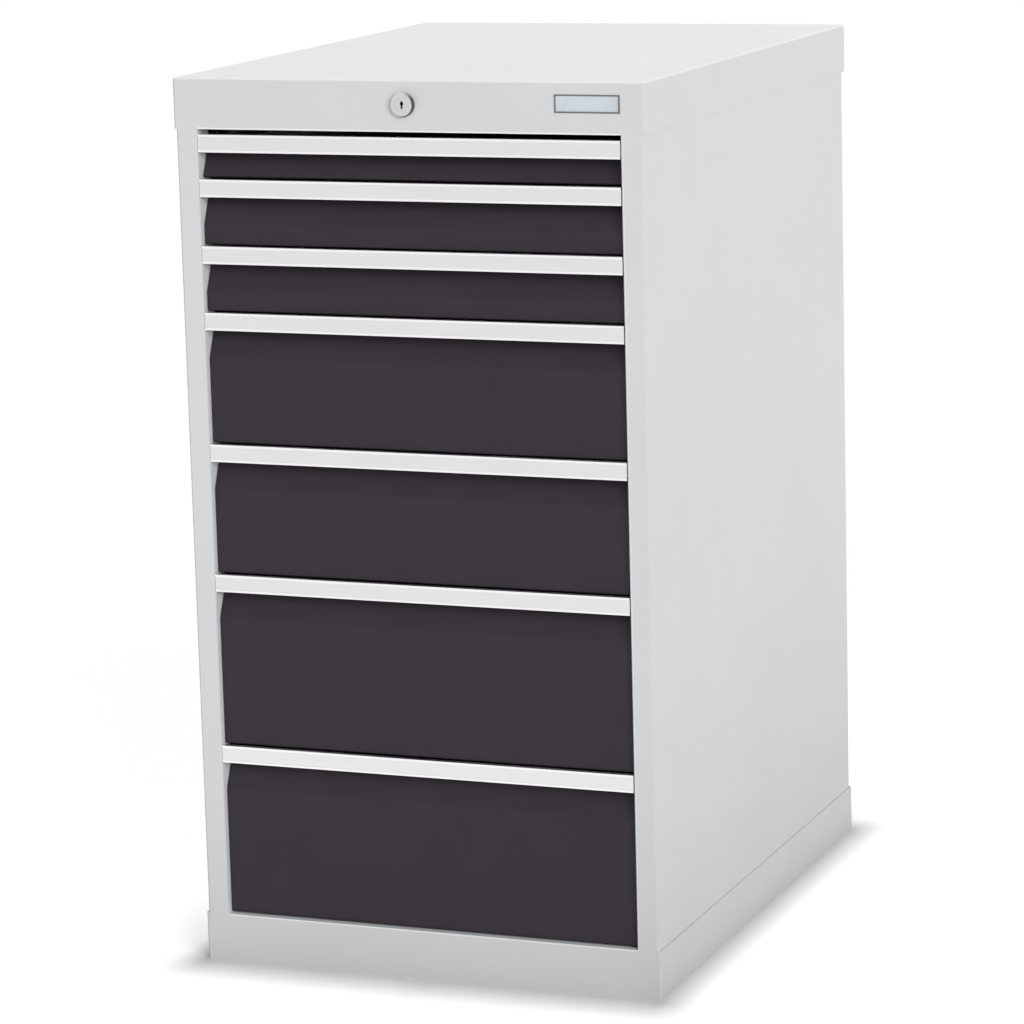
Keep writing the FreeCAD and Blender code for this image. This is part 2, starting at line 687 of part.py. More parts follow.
def make_drawer_tray(number):
    """A folded trough with hemmed sides, and the two ends welded into it."""
    trough = make_body("Trough%d" % number, y="tray_y")
    bind(trough, "Placement.Base.z", tray_floor(number))
    rim = tray_rim(number)
    sketch = draw("TraySection%d" % number, trough, "XZ_Plane")
    outline(sketch, [
        ("-tray_x", "0"),
        ("tray_x", "0"),
        ("tray_x", rim),
        ("tray_x - hem_width", rim),
        ("tray_x - hem_width", rim + " - tray_sheet"),
        ("tray_x - tray_sheet", rim + " - tray_sheet"),
        ("tray_x - tray_sheet", "tray_sheet"),
        ("tray_sheet - tray_x", "tray_sheet"),
        ("tray_sheet - tray_x", rim + " - tray_sheet"),
        ("hem_width - tray_x", rim + " - tray_sheet"),
        ("hem_width - tray_x", rim),
        ("-tray_x", rim),
    ])
    pad(trough, sketch, "tray_length", "Down")
    front = tray_end(number, "Front", lambda depth: depth)
    rear = tray_end(number, "Rear", lambda depth: "tray_length - " + depth)
    keep("drawer_tray_%d" % number, group("Tray%d" % number, [trough, front, rear]))


# Slides

def channel_section(back, tip, wall):
    """The corners of a C section: its web at back, its flanges reaching tip, about a level axis."""
    return [
        (back, "-rail_height / 2"),
        (back, "rail_height / 2"),
        (tip, "rail_height / 2"),
        (tip, "rail_height / 2 - rail_sheet"),
        (wall, "rail_height / 2 - rail_sheet"),
        (wall, "rail_sheet - rail_height / 2"),
        (tip, "rail_sheet - rail_height / 2"),
        (tip, "-rail_height / 2"),
    ]


def slide_level(number):
    return "crest_%d - front_%d + rail_z" % (number, number)


def make_cabinet_rails():
    """The outer members of all the slides on one side, on the uprights' webs."""
    length = "tray_rear + buffer_gap + buffer_length + half_depth - post_depth"
    middle = "(tray_rear + buffer_gap + buffer_length - half_depth + post_depth) / 2"
    section = channel_section("opening_x", "opening_x - rail_reach", "opening_x - rail_sheet")
    rails = []
    for number in DRAWERS:
        rails.append(extrude("CabinetRail%d" % number, section, length, "XZ",
                             y=middle, z=slide_level(number)))
    right = group("cabinet_rails_right", rails)
    keep("cabinet_rails_right", right)
    keep("cabinet_rails_left", mirror_copy(right, "cabinet_rails_left"))


def make_middle_rails(number):
    """The pair of middle members: an H section that runs in the other two."""
    near = "web_x - rail_space / 2 + rail_sheet + web_gap"
    far = "web_x + rail_space / 2 - rail_sheet - web_gap"
    left = "web_x - rail_sheet / 2"
    right = "web_x + rail_sheet / 2"
    top = "race_height / 2"
    fold = "race_height / 2 - rail_sheet"
    section = [
        (near, "-" + top), (far, "-" + top), (far, "-(%s)" % fold), (right, "-(%s)" % fold),
        (right, fold), (far, fold), (far, top), (near, top),
        (near, fold), (left, fold), (left, "-(%s)" % fold), (near, "-(%s)" % fold),
    ]
    rail = extrude("MiddleRail%d" % number, section, "tray_rear + half_depth - post_depth", "XZ",
                   y="(tray_rear - half_depth + post_depth) / 2", z=slide_level(number))
    pair = group("middle_rails_%d" % number, [rail, mirror_copy(rail, "MiddleRailLeft%d" % number)])
    keep("middle_rails_%d" % number, pair)


def make_drawer_rails(number):
    """The pair of inner members on the tray's walls, and the catch peg above the right one."""
    section = channel_section("tray_x", "tray_x + rail_reach", "tray_x + rail_sheet")
    rail = extrude("DrawerRail%d" % number, section, "tray_length - slide_inset", "XZ",
                   y="(tray_y + slide_inset + tray_rear) / 2", z=slide_level(number))
    peg = document.addObject("Part::Cylinder", "CatchPeg%d" % number)
    bind(peg, "Radius", "peg_radius")
    bind(peg, "Height", "peg_length")
    peg.Placement = Placement(Vector(), Rotation(Vector(0, 1, 0), 90))
    set_place(peg, "tray_x", "peg_depth - half_depth", "crest_%d - front_%d + peg_rise" % (number, number))
    pair = group("drawer_rails_%d" % number, [rail, mirror_copy(rail, "DrawerRailLeft%d" % number), peg])
    keep("drawer_rails_%d" % number, pair)


def make_rail_fittings():
    """Rubber buffers at the rear ends of the outer members, and the screws that hold them."""
    buffers = []
    screws = []
    nose = [
        ("buffer_length", "-buffer_height / 2"),
        ("buffer_length", "buffer_height / 2"),
        ("buffer_bevel", "buffer_height / 2"),
        ("0", "buffer_height / 2 - buffer_bevel"),
        ("0", "buffer_bevel - buffer_height / 2"),
        ("buffer_bevel", "-buffer_height / 2"),
    ]
    for number in DRAWERS:
        level = slide_level(number)
        buffers.append(extrude("Buffer%d" % number, nose, "buffer_width", "YZ",
                               "opening_x - rail_sheet - buffer_width / 2",
                               "tray_rear + buffer_gap", level))
        for end, middle in (("Front", "post_depth - half_depth + post_width / 2"),
                            ("Rear", "tray_rear - rear_post_gap - post_width / 2")):
            screw = document.addObject("Part::Prism", "Screw%s%d" % (end, number))
            screw.Polygon = 6
            bind(screw, "Circumradius", "screw_radius")
            bind(screw, "Height", "screw_head")
            screw.Placement = Placement(Vector(), Rotation(Vector(0, 1, 0), 90))
            set_place(screw, "opening_x - rail_sheet - screw_head", middle, level)
            screws.append(screw)
    for label, members in (("rail_buffers", buffers), ("rail_screws", screws)):
        right = group(label + "Right", members)
        keep(label, group(label, [right, mirror_copy(right, label + "Left")]))


# Lock

def make_lock_housing():
    """The lock's barrel with its round face, bored for the plug."""
    body = make_body("lock_housing", y="-half_depth", z="lock_z")
    sketch = draw("LockSection", body, "YZ_Plane")
    outline(sketch, [
        ("-rosette_height", "plug_radius + plug_gap"),
        ("-rosette_height", "rosette_radius - rosette_chamfer"),
        ("rosette_chamfer - rosette_height", "rosette_radius"),
        ("0", "rosette_radius"),
        ("0", "lock_radius"),
        ("lock_length", "lock_radius"),
        ("lock_length", "plug_radius + plug_gap"),
    ])
    turned = body.newObject("PartDesign::Revolution", "LockTurned")
    turned.Profile = sketch
    turned.ReferenceAxis = (sketch, ["H_Axis"])
    turned.Angle = 360
    document.recompute()
    keep("lock_housing", body)


def make_lock_nut():
    """The hexagon nut that clamps the lock in the header."""
    blank = document.addObject("Part::Prism", "NutBlank")
    blank.Polygon = 6
    bind(blank, "Circumradius", "nut_flats / sqrt(3)")
    bind(blank, "Height", "nut_height")
    bore = document.addObject("Part::Cylinder", "NutBore")
    bind(bore, "Radius", "lock_radius + thread_gap")
    bind(bore, "Height", "nut_height")
    nut = document.addObject("Part::Cut", "lock_nut")
    nut.Base = blank
    nut.Tool = bore
    nut.Placement = Placement(Vector(), Rotation(Vector(1, 0, 0), -90))
    set_place(nut, "0", "wall_sheet - half_depth", "lock_z")
    keep("lock_nut", nut)


def make_lock_cylinder():
    """The plug, with a hollowed face and a keyway that opens out round a key's shaft."""
    body = make_body("lock_cylinder", y="-half_depth", z="lock_z")
    sketch = draw("PlugSection", body, "YZ_Plane")
    outline(sketch, [
        ("plug_sink + plug_dish - rosette_height", "0"),
        ("cam_depth", "0"),
        ("cam_depth", "plug_radius"),
        ("plug_sink - rosette_height", "plug_radius"),
        ("plug_sink + plug_dish - rosette_height", "plug_radius - plug_slope"),
    ])
    turned = body.newObject("PartDesign::Revolution", "PlugTurned")
    turned.Profile = sketch
    turned.ReferenceAxis = (sketch, ["H_Axis"])
    turned.Angle = 360
    document.recompute()
    keyway = draw("Keyway", body, "XZ_Plane", "rosette_height - plug_sink")
    rectangle(keyway, "-key_width / 2", "-key_height / 2", "key_width / 2", "key_height / 2")
    pocket(body, keyway, "2 * key_depth")
    eye = draw("KeyEye", body, "XZ_Plane", "rosette_height - plug_sink")
    circle(eye, "0", "key_eye_rise", "key_eye")
    pocket(body, eye, "2 * key_eye_depth")
    keep("lock_cylinder", body)


def make_lock_cam():
    """The disc on the plug's end, with the pin that drives the link."""
    body = make_body("lock_cam", y="-half_depth", z="lock_z")
    disc = draw("CamDisc", body, "XZ_Plane", "-cam_depth")
    circle(disc, "0", "0", "cam_radius")
    pad(body, disc, "cam_height", "Down")
    pin = draw("CamPin", body, "XZ_Plane", "-(cam_depth + cam_height)")
    circle(pin, "-crank_side", "crank_side", "pin_radius")
    pad(body, pin, "cam_gap + link_sheet + pin_proud", "Down")
    keep("lock_cam", body)


def make_lock_link():
    """The link that slides behind the header: an upright slot for the cam, a sloping one for the bar."""
    body = make_body("lock_link", y="-half_depth", z="lock_z")
    sketch = draw("LinkOutline", body, "XZ_Plane", "-link_depth")
    rectangle(sketch, "-link_end", "-link_drop", "pin_x + link_tail", "link_height - link_drop")
    rectangle(sketch, "-crank_side - pin_room", "crank_side - pin_room",
              "pin_room - crank_side", "crank + pin_room")
    low = "bar_pin_rise - stroke - link_slope * pin_room"
    high = "bar_pin_rise + link_slope * pin_room"
    start = "pin_x - link_travel - pin_room"
    end = "pin_x + pin_room"
    outline(sketch, [
        (start, low + " - link_room"),
        (end, high + " - link_room"),
        (end, high + " + link_room"),
        (start, low + " + link_room"),
    ])
    pad(body, sketch, "link_sheet", "Down")
    keep("lock_link", body)


def make_locking_bar():
    """The upright flat bar, with the pin that the link's slot lifts."""
    body = make_body("locking_bar", y="bar_depth - half_depth")
    sketch = draw("BarSide", body, "YZ_Plane", "bar_x")
    rectangle(sketch, "0", "plinth_height + bar_foot", "bar_width", "lock_z + bar_pin_rise + bar_top")
    pad(body, sketch, "bar_sheet")
    pin = draw("BarPin", body, "XZ_Plane")
    circle(pin, "pin_x", "lock_z + bar_pin_rise", "pin_radius")
    pad(body, pin, "bar_gap + link_sheet + cam_gap / 2")
    keep("locking_bar", body)


def make_locking_hooks():
    """The hooks on the locking bar, one for each drawer's catch peg."""
    section = [
        ("bar_x - hook_reach", "0"),
        ("bar_x", "0"),
        ("bar_x", "hook_height"),
        ("bar_x - hook_reach + hook_bevel", "hook_height"),
        ("bar_x - hook_reach", "hook_height - hook_bevel"),
    ]
    hooks = []
    for number in DRAWERS:
        hooks.append(extrude("Hook%d" % number, section, "hook_sheet", "XZ",
                             y="hook_depth + hook_sheet / 2 - half_depth",
                             z="crest_%d - front_%d + hook_rise" % (number, number)))
    keep("locking_hooks", group("locking_hooks", hooks))


def make_bar_guides():
    """Three guides that hold the bar to the front upright, and two that hold the link."""
    guides = []
    for number in (2, 4, 6):
        outer = document.addObject("Part::Box", "BarGuideBlock%d" % number)
        bind(outer, "Length", "bar_side_gap + bar_sheet + guide_gap + guide_wall - side_gap / 2")
        bind(outer, "Width", "guide_wall + guide_gap + bar_width + post_gap")
        bind(outer, "Height", "guide_height")
        set_place(outer, "opening_x + side_gap / 2", "bar_depth - guide_gap - guide_wall - half_depth",
                  "crest_%d - guide_drop - guide_height" % number)
        inner = document.addObject("Part::Box", "BarGuideHole%d" % number)
        bind(inner, "Length", "bar_sheet + 2 * guide_gap")
        bind(inner, "Width", "bar_width + 2 * guide_gap")
        bind(inner, "Height", "guide_height")
        set_place(inner, "bar_x - guide_gap", "bar_depth - guide_gap - half_depth",
                  "crest_%d - guide_drop - guide_height" % number)
        guide = document.addObject("Part::Cut", "BarGuide%d" % number)
        guide.Base = outer
        guide.Tool = inner
        guides.append(guide)
    section = [
        ("link_depth", "-link_drop - guide_gap"),
        ("link_rear + guide_gap", "-link_drop - guide_gap"),
        ("link_rear + guide_gap", "link_height - link_drop + guide_gap"),
        ("link_depth", "link_height - link_drop + guide_gap"),
        ("link_depth", "link_height - link_drop + guide_gap + guide_wall"),
        ("channel_depth", "link_height - link_drop + guide_gap + guide_wall"),
        ("channel_depth", "-link_drop - guide_gap - guide_wall"),
        ("link_depth", "-link_drop - guide_gap - guide_wall"),
    ]
    for number in (1, 2):
        guides.append(extrude("LinkGuide%d" % number, section, "guide_height", "YZ",
                              x="link_guide_%d" % number, y="-half_depth", z="lock_z"))
    keep("lock_guides", group("lock_guides", guides))


# Nameplate

def make_nameplate():
    """A bare plate in a thin frame that fills the header's window."""
    frame = make_body("nameplate_frame", "plate_x", "-half_depth", "plate_z")
    width = "plate_width / 2 - plate_gap"
    height = "plate_height / 2 - plate_gap"
    rim = draw("FrameOutline", frame, "XZ_Plane", "frame_proud")
    rectangle(rim, "-(%s)" % width, "-(%s)" % height, width, height)
    pad(frame, rim, "frame_height", "Down")
    seat = draw("FrameSeat", frame, "XZ_Plane", "frame_proud")
    rectangle(seat, "frame_rim - (%s)" % width, "frame_rim - (%s)" % height,
              width + " - frame_rim", height + " - frame_rim")
    pocket(frame, seat, "2 * (frame_height - frame_back)")
    keep("nameplate_frame", frame)
    plate = make_body("nameplate", "plate_x", "-half_depth", "plate_z")
    face = draw("PlateOutline", plate, "XZ_Plane", "frame_proud - frame_height + frame_back")
    inset = "frame_rim + plate_gap / 2"
    rectangle(face, "%s - (%s)" % (inset, width), "%s - (%s)" % (inset, height),
              "%s - (%s)" % (width, inset), "%s - (%s)" % (height, inset))
    pad(plate, face, "plate_sheet")
    keep("nameplate", plate)


# Check and write

def check():
    """Stop if an object failed or a sub-part's shape is missing or broken."""
    for item in document.Objects:
        if "Invalid" in item.State or "Error" in item.State:
            raise RuntimeError("%s is %s" % (item.Name, item.State))
    for part in parts:
        if part.Shape.isNull() or not part.Shape.isValid():
            raise RuntimeError(part.Label + " has no valid shape")


def write():
    os.makedirs("parts", exist_ok=True)
    for part in parts:
        part.Shape.exportStep("parts/%s.step" % part.Label)


sizes = fill_sheet("Sizes", [(name, str(number), meaning) for name, number, meaning in SIZES])
for place, text in PLACES:
    cells[place] = "Places." + place
fill_sheet("Places", [(place, "=" + formula(text), "worked out") for place, text in PLACES])
document.recompute()

make_top_cap()
make_side_panels()
make_rear_panel()
make_plinth()
make_floor_pan()
make_header_channel()
make_upright("upright_front", "post_depth - half_depth")
make_upright("upright_rear", "tray_rear - rear_post_gap - post_width")
for drawer in DRAWERS:
    make_drawer_front(drawer)
    make_handle_strip(drawer)
    make_drawer_tray(drawer)
    make_drawer_rails(drawer)
    make_middle_rails(drawer)
make_cabinet_rails()
make_rail_fittings()
make_lock_housing()
make_lock_nut()
make_lock_cylinder()
make_lock_cam()
make_lock_link()
make_locking_bar()
make_locking_hooks()
make_bar_guides()
make_nameplate()
document.recompute()
check()
write()
print(len(parts), "sub-parts written")
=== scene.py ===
"""Finish, light and camera of a tall steel drawer cabinet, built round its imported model."""

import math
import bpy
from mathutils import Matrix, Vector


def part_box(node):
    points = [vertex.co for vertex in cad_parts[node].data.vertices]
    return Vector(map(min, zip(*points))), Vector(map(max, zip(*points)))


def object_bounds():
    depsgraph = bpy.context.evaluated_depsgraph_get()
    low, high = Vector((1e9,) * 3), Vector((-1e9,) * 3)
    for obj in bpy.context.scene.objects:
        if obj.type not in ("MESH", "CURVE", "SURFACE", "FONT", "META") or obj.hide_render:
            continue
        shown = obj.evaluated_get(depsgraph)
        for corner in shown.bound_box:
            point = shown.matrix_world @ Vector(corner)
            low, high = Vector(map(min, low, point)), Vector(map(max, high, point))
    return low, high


bl_info = {
    "name": "Steel drawer cabinet",
    "version": (1, 0, 0),
    "blender": (4, 5, 0),
    "location": "3D View > Sidebar > Drawer Cabinet",
    "description": "Powder coat, strips, slides, lock and studio for a seven-drawer steel cabinet",
    "category": "Object",
}

import bmesh
import bpy
from bpy.props import FloatProperty, FloatVectorProperty, PointerProperty
from mathutils import Matrix, Vector

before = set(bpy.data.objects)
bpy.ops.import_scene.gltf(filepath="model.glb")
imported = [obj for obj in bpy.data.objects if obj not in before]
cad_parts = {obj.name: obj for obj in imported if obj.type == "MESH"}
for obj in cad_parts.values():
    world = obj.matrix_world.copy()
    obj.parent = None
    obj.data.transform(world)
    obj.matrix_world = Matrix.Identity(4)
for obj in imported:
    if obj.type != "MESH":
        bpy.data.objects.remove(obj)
CAD_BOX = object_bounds()

DRAWERS = range(1, 8)


# Settings

class HousingSettings(bpy.types.PropertyGroup):
    """Paint of the housing and of the drawers' trays."""

    colour: FloatVectorProperty(
        name="Housing colour", description="Light grey powder coat of the cap, walls and plinth",
        subtype="COLOR", size=3, min=0.0, max=1.0, default=(0.690, 0.704, 0.709))
    tray_colour: FloatVectorProperty(
        name="Tray colour", description="Paint inside the drawers",
        subtype="COLOR", size=3, min=0.0, max=1.0, default=(0.62, 0.63, 0.63))
    grain: FloatProperty(
        name="Paint texture", description="Width of one dimple of the powder coat",
        subtype="DISTANCE", unit="LENGTH", min=0.0002, max=0.01, default=0.0016)
    relief: FloatProperty(
        name="Paint relief", description="Height of the powder coat's dimples",
        subtype="DISTANCE", unit="LENGTH", min=0.0, max=0.001, default=0.00003)


class FrontSettings(bpy.types.PropertyGroup):
    """Paint and handle strips of the drawer fronts."""

    colour: FloatVectorProperty(
        name="Front colour", description="Anthracite powder coat of the drawer fronts",
        subtype="COLOR", size=3, min=0.0, max=1.0, default=(0.0325, 0.0252, 0.0325))
    strip_colour: FloatVectorProperty(
        name="Strip colour", description="Satin anodised aluminium in the label channel",
        subtype="COLOR", size=3, min=0.0, max=1.0, default=(0.795, 0.800, 0.800))
    # Painted highlight: the lighter colour of the lips
    lip_highlight_colour: FloatVectorProperty(
        name="Lip colour", description="Polished lips above and below the label channel",
        subtype="COLOR", size=3, min=0.0, max=1.0, default=(0.95, 0.95, 0.96))
    brush_pitch: FloatProperty(
        name="Brushing", description="Spacing of the fine lines along the handle strips",
        subtype="DISTANCE", unit="LENGTH", min=0.0001, max=0.01, default=0.0009)


class LockSettings(bpy.types.PropertyGroup):
    """Finish of the lock and of the nameplate."""

    colour: FloatVectorProperty(
        name="Lock colour", description="Satin nickel of the lock's face",
        subtype="COLOR", size=3, min=0.0, max=1.0, default=(0.66, 0.66, 0.665))
    # Painted shade on one side of the lock's rim
    rim_shade_colour: FloatVectorProperty(
        name="Lock wall colour", description="Dull nickel on the dark side of the lock's rim",
        subtype="COLOR", size=3, min=0.0, max=1.0, default=(0.10, 0.10, 0.11))
    plate_colour: FloatVectorProperty(
        name="Nameplate colour", description="Bare plate in the header's window",
        subtype="COLOR", size=3, min=0.0, max=1.0, default=(0.64, 0.685, 0.735))


class StageSettings(bpy.types.PropertyGroup):
    """Floor, light and camera."""

    floor_width: FloatProperty(
        name="Floor width", description="Side of the square floor",
        subtype="DISTANCE", unit="LENGTH", min=1.0, max=200.0, default=80.0)
    fill: FloatProperty(
        name="Fill light", description="Even light from all round",
        min=0.0, max=3.0, default=0.325)
    overhead: FloatProperty(
        name="Overhead light", description="Light of the softbox, which makes the shadow at the foot",
        min=0.0, max=10.0, default=0.505)
    overhead_place: FloatVectorProperty(
        name="Softbox place", description="Middle of the overhead softbox",
        subtype="TRANSLATION", unit="LENGTH", size=3, default=(-0.01, 0.17, 15.0))
    overhead_width: FloatProperty(
        name="Softbox width", description="Size of the softbox from left to right",
        subtype="DISTANCE", unit="LENGTH", min=0.01, max=20.0, default=0.52)
    overhead_depth: FloatProperty(
        name="Softbox depth", description="Size of the softbox from front to back",
        subtype="DISTANCE", unit="LENGTH", min=0.01, max=20.0, default=0.85)
    key: FloatProperty(
        name="Key light", description="Soft low light on the front and the right side",
        min=0.0, max=10.0, default=0.614)
    key_spread: FloatProperty(
        name="Key softness", description="Angle that the key light fills",
        subtype="ANGLE", unit="ROTATION", min=0.0, max=3.1, default=math.radians(30))
    focal_length: FloatProperty(
        name="Focal length", description="Lens of the camera",
        subtype="DISTANCE_CAMERA", unit="CAMERA", min=10.0, max=500.0, default=146.38)
    distance: FloatProperty(
        name="Distance", description="Camera to the point that it looks at",
        subtype="DISTANCE", unit="LENGTH", min=0.5, max=50.0, default=4.9588)
    aim: FloatVectorProperty(
        name="Aim", description="Point that the camera looks at",
        subtype="TRANSLATION", unit="LENGTH", size=3, default=(-0.02379, -0.01727, 0.47100))
    azimuth: FloatProperty(
        name="Azimuth", description="Camera to the right of straight in front",
        subtype="ANGLE", unit="ROTATION", default=math.radians(21.536))
    elevation: FloatProperty(
        name="Elevation", description="Camera above level",
        subtype="ANGLE", unit="ROTATION", default=math.radians(11.191))
    roll: FloatProperty(
        name="Roll", description="Camera turned about its own axis",
        subtype="ANGLE", unit="ROTATION", default=math.radians(-1.518))


# Node trees

# Nearly all of a noise texture's surface lies between these two values
NOISE_RANGE = (0.3, 0.7)


def add(tree, kind, inputs=None, **settings):
    """A node of a tree; inputs maps a socket's name or number to a value or to another node's output."""
    node = tree.nodes.new("ShaderNode" + kind)
    for name, setting in settings.items():
        setattr(node, name, setting)
    for name, wanted in (inputs or {}).items():
        if isinstance(wanted, bpy.types.NodeSocket):
            tree.links.new(wanted, node.inputs[name])
        else:
            node.inputs[name].default_value = wanted
    return node


def maths(tree, operation, *values):
    """The result of one operation on one or two numbers."""
    return add(tree, "Math", dict(enumerate(values)), operation=operation).outputs["Value"]


def vectors(tree, operation, *values, result="Vector"):
    """The result of one operation on one or two vectors; a length or dot product is a "Value"."""
    return add(tree, "VectorMath", dict(enumerate(values)), operation=operation).outputs[result]


def axes(tree, vector):
    """The parts of a vector, by the names X, Y and Z."""
    return add(tree, "SeparateXYZ", {"Vector": vector}).outputs


def new_material(name, **sockets):
    """A material and its Principled shader, with constants set on the shader's own sockets."""
    material = bpy.data.materials.new(name)
    material.use_nodes = True
    shader = material.node_tree.nodes["Principled BSDF"]
    for socket, wanted in sockets.items():
        shader.inputs[socket.replace("_", " ")].default_value = wanted
    return material, material.node_tree, shader


def link(tree, shader, **sockets):
    """Join outputs to the shader's sockets; an underscore stands for the space in a socket's name."""
    for socket, source in sockets.items():
        tree.links.new(source, shader.inputs[socket.replace("_", " ")])


def place(tree):
    """The point of the surface in the object's own frame, in metres."""
    return add(tree, "TexCoord").outputs["Object"]


def noise(tree, where, size, detail=2.0, stretch=(1.0, 1.0, 1.0)):
    """Noise whose features are about size metres wide, drawn out along an axis by a small stretch."""
    scaled = add(tree, "Mapping", {"Vector": where, "Scale": stretch})
    field = add(tree, "TexNoise", {
        "Vector": scaled.outputs["Vector"], "Scale": 1.0 / size, "Detail": detail})
    return field.outputs["Fac"]


def spread(tree, source, low, high, source_low=NOISE_RANGE[0], source_high=NOISE_RANGE[1]):
    """A value that runs from low to high as source runs between its two limits."""
    span = add(tree, "MapRange", {
        "Value": source, "From Min": source_low, "From Max": source_high,
        "To Min": low, "To Max": high})
    return span.outputs["Result"]


def band(tree, source, start, width):
    """1 where source lies within width above start, fading to 0 just outside."""
    away = maths(tree, "ABSOLUTE", maths(tree, "SUBTRACT", source, start + width / 2))
    return spread(tree, away, 1.0, 0.0, width / 2, width / 2 + BAND_SOFTNESS)


def shade(tree, colour, factor):
    """A colour made lighter or darker by a factor."""
    scaled = add(tree, "VectorMath", {0: colour, "Scale": factor}, operation="SCALE")
    return scaled.outputs["Vector"]


def blend(tree, factor, first, second):
    """Goes from the first value to the second as factor goes from 0 to 1."""
    return add(tree, "Mix", {0: factor, 2: first, 3: second}).outputs["Result"]


def blend_colours(tree, factor, first, second):
    """Goes from the first colour to the second as factor goes from 0 to 1."""
    mix = add(tree, "Mix", {"Factor": factor}, data_type="RGBA")
    for socket, wanted in zip((mix.inputs[6], mix.inputs[7]), (first, second)):
        if isinstance(wanted, bpy.types.NodeSocket):
            tree.links.new(wanted, socket)
        else:
            socket.default_value = (*wanted, 1.0)
    return mix.outputs[2]


def bump(tree, height, depth, under=None):
    """The normal of relief this many metres deep, laid over another relief where one is given."""
    inputs = {"Height": height, "Distance": depth, "Strength": 1.0}
    if under is not None:
        inputs["Normal"] = under
    return add(tree, "Bump", inputs).outputs["Normal"]


def seen_directly(tree):
    """1 for rays of the camera and for those that a mirror or glass sends on, otherwise 0."""
    path = add(tree, "LightPath").outputs
    either = maths(tree, "MAXIMUM", path["Is Camera Ray"], path["Is Glossy Ray"])
    return maths(tree, "MAXIMUM", either, path["Is Transmission Ray"])


# Paint. Widths, pitches and depths are in metres, and a tone is a factor on the colour

BAND_SOFTNESS = 0.0004
PATCH_WIDTH = 0.35
PATCH_TONE = (0.985, 1.015)
SWELLS_TO_DIMPLES = 6
SMUDGE_WIDTH = 0.06
SMUDGE_CHANGE = (-0.05, 0.06)
# The fold tone below is a painted shade on the round of folds
FOLD_SHADE_TONE = 0.87
HALF_TURNED = 0.5
# The edge tone below is a painted highlight along the header's lower edge, the right stile's inner edge
# and the plinth's top
EDGE_HIGHLIGHT_TONE = 1.28
EDGE_WIDTH = 0.0015
EDGE_INSET = 0.0016
EDGE_DEPTH = (0.012, 0.016)


def painted_fold_shade(tree):
    """Painted shade: a little darker on the round of an upright fold, and 1 on flat sheet."""
    facing = axes(tree, vectors(tree, "ABSOLUTE", add(tree, "TexCoord").outputs["Normal"]))
    both = maths(tree, "MULTIPLY", facing["X"], facing["Y"])
    return spread(tree, both, 1.0, FOLD_SHADE_TONE, 0.0, HALF_TURNED)


def painted_edge_highlights(tree, where):
    """Painted highlights: lighter along the header's lower edge, the right stile's inner edge and the
    plinth's top.
    """
    point = axes(tree, where)
    cap_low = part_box("top_cap")[0].z
    plinth_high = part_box("plinth")[1].z
    strip_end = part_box("handle_strip_1")[1].x
    front = CAD_BOX[0].y
    header_line = band(tree, point["Z"], cap_low, EDGE_WIDTH)
    plinth_line = band(tree, point["Z"], plinth_high - EDGE_WIDTH, EDGE_WIDTH)
    either = maths(tree, "MAXIMUM", header_line, plinth_line)
    in_opening = band(tree, point["X"], -strip_end, 2 * strip_end)
    level = maths(tree, "MULTIPLY", either, in_opening)
    stile_line = band(tree, point["X"], strip_end + EDGE_INSET, EDGE_WIDTH)
    beside_drawers = band(tree, point["Z"], plinth_high, cap_low - plinth_high)
    upright = maths(tree, "MULTIPLY", stile_line, beside_drawers)
    lines = maths(tree, "MAXIMUM", level, upright)
    at_front = spread(tree, point["Y"], 1.0, 0.0, front + EDGE_DEPTH[0], front + EDGE_DEPTH[1])
    return spread(tree, maths(tree, "MULTIPLY", lines, at_front), 1.0, EDGE_HIGHLIGHT_TONE, 0.0, 1.0)


def powder_coat(name, colour, grain, relief, specular, roughness, with_painted_light=False):
    """Baked paint: dimples and a faint unevenness of tone and gloss, and on sheet with folds, painted
    shade on the folds and painted highlights along edges.
    """
    material, tree, shader = new_material(name, Specular_IOR_Level=specular, Metallic=0.0)
    where = place(tree)
    tone = spread(tree, noise(tree, where, PATCH_WIDTH, 3.0), *PATCH_TONE)
    if with_painted_light:
        # Painted shade on the folds and painted highlights along the edges
        painted_light_at_edges = maths(tree, "MULTIPLY", painted_fold_shade(tree), painted_edge_highlights(tree, where))
        tone = maths(tree, "MULTIPLY", tone, painted_light_at_edges)
    dimples = bump(tree, noise(tree, where, grain, 2.0), relief)
    swells = noise(tree, where, SWELLS_TO_DIMPLES * grain, 1.0)
    smudges = noise(tree, where, SMUDGE_WIDTH, 4.0)
    link(tree, shader,
         Base_Color=shade(tree, colour, tone),
         Roughness=spread(tree, smudges, *(roughness + change for change in SMUDGE_CHANGE)),
         Normal=bump(tree, swells, relief, under=dimples))
    return material


# Bare metal

LINE_RELIEF = 0.00001
LIP_FACE = 0.0001
CHANNEL_FLOOR = 0.0006
BRUSH_STRETCH = (0.012, 1.0, 1.0)
BRUSH_TONE = (0.965, 1.03)
BLOTCH_WIDTH = 0.03
BLOTCH_STRETCH = (0.4, 1.0, 1.0)
STRIP_ROUGHNESS = (0.34, 0.44)


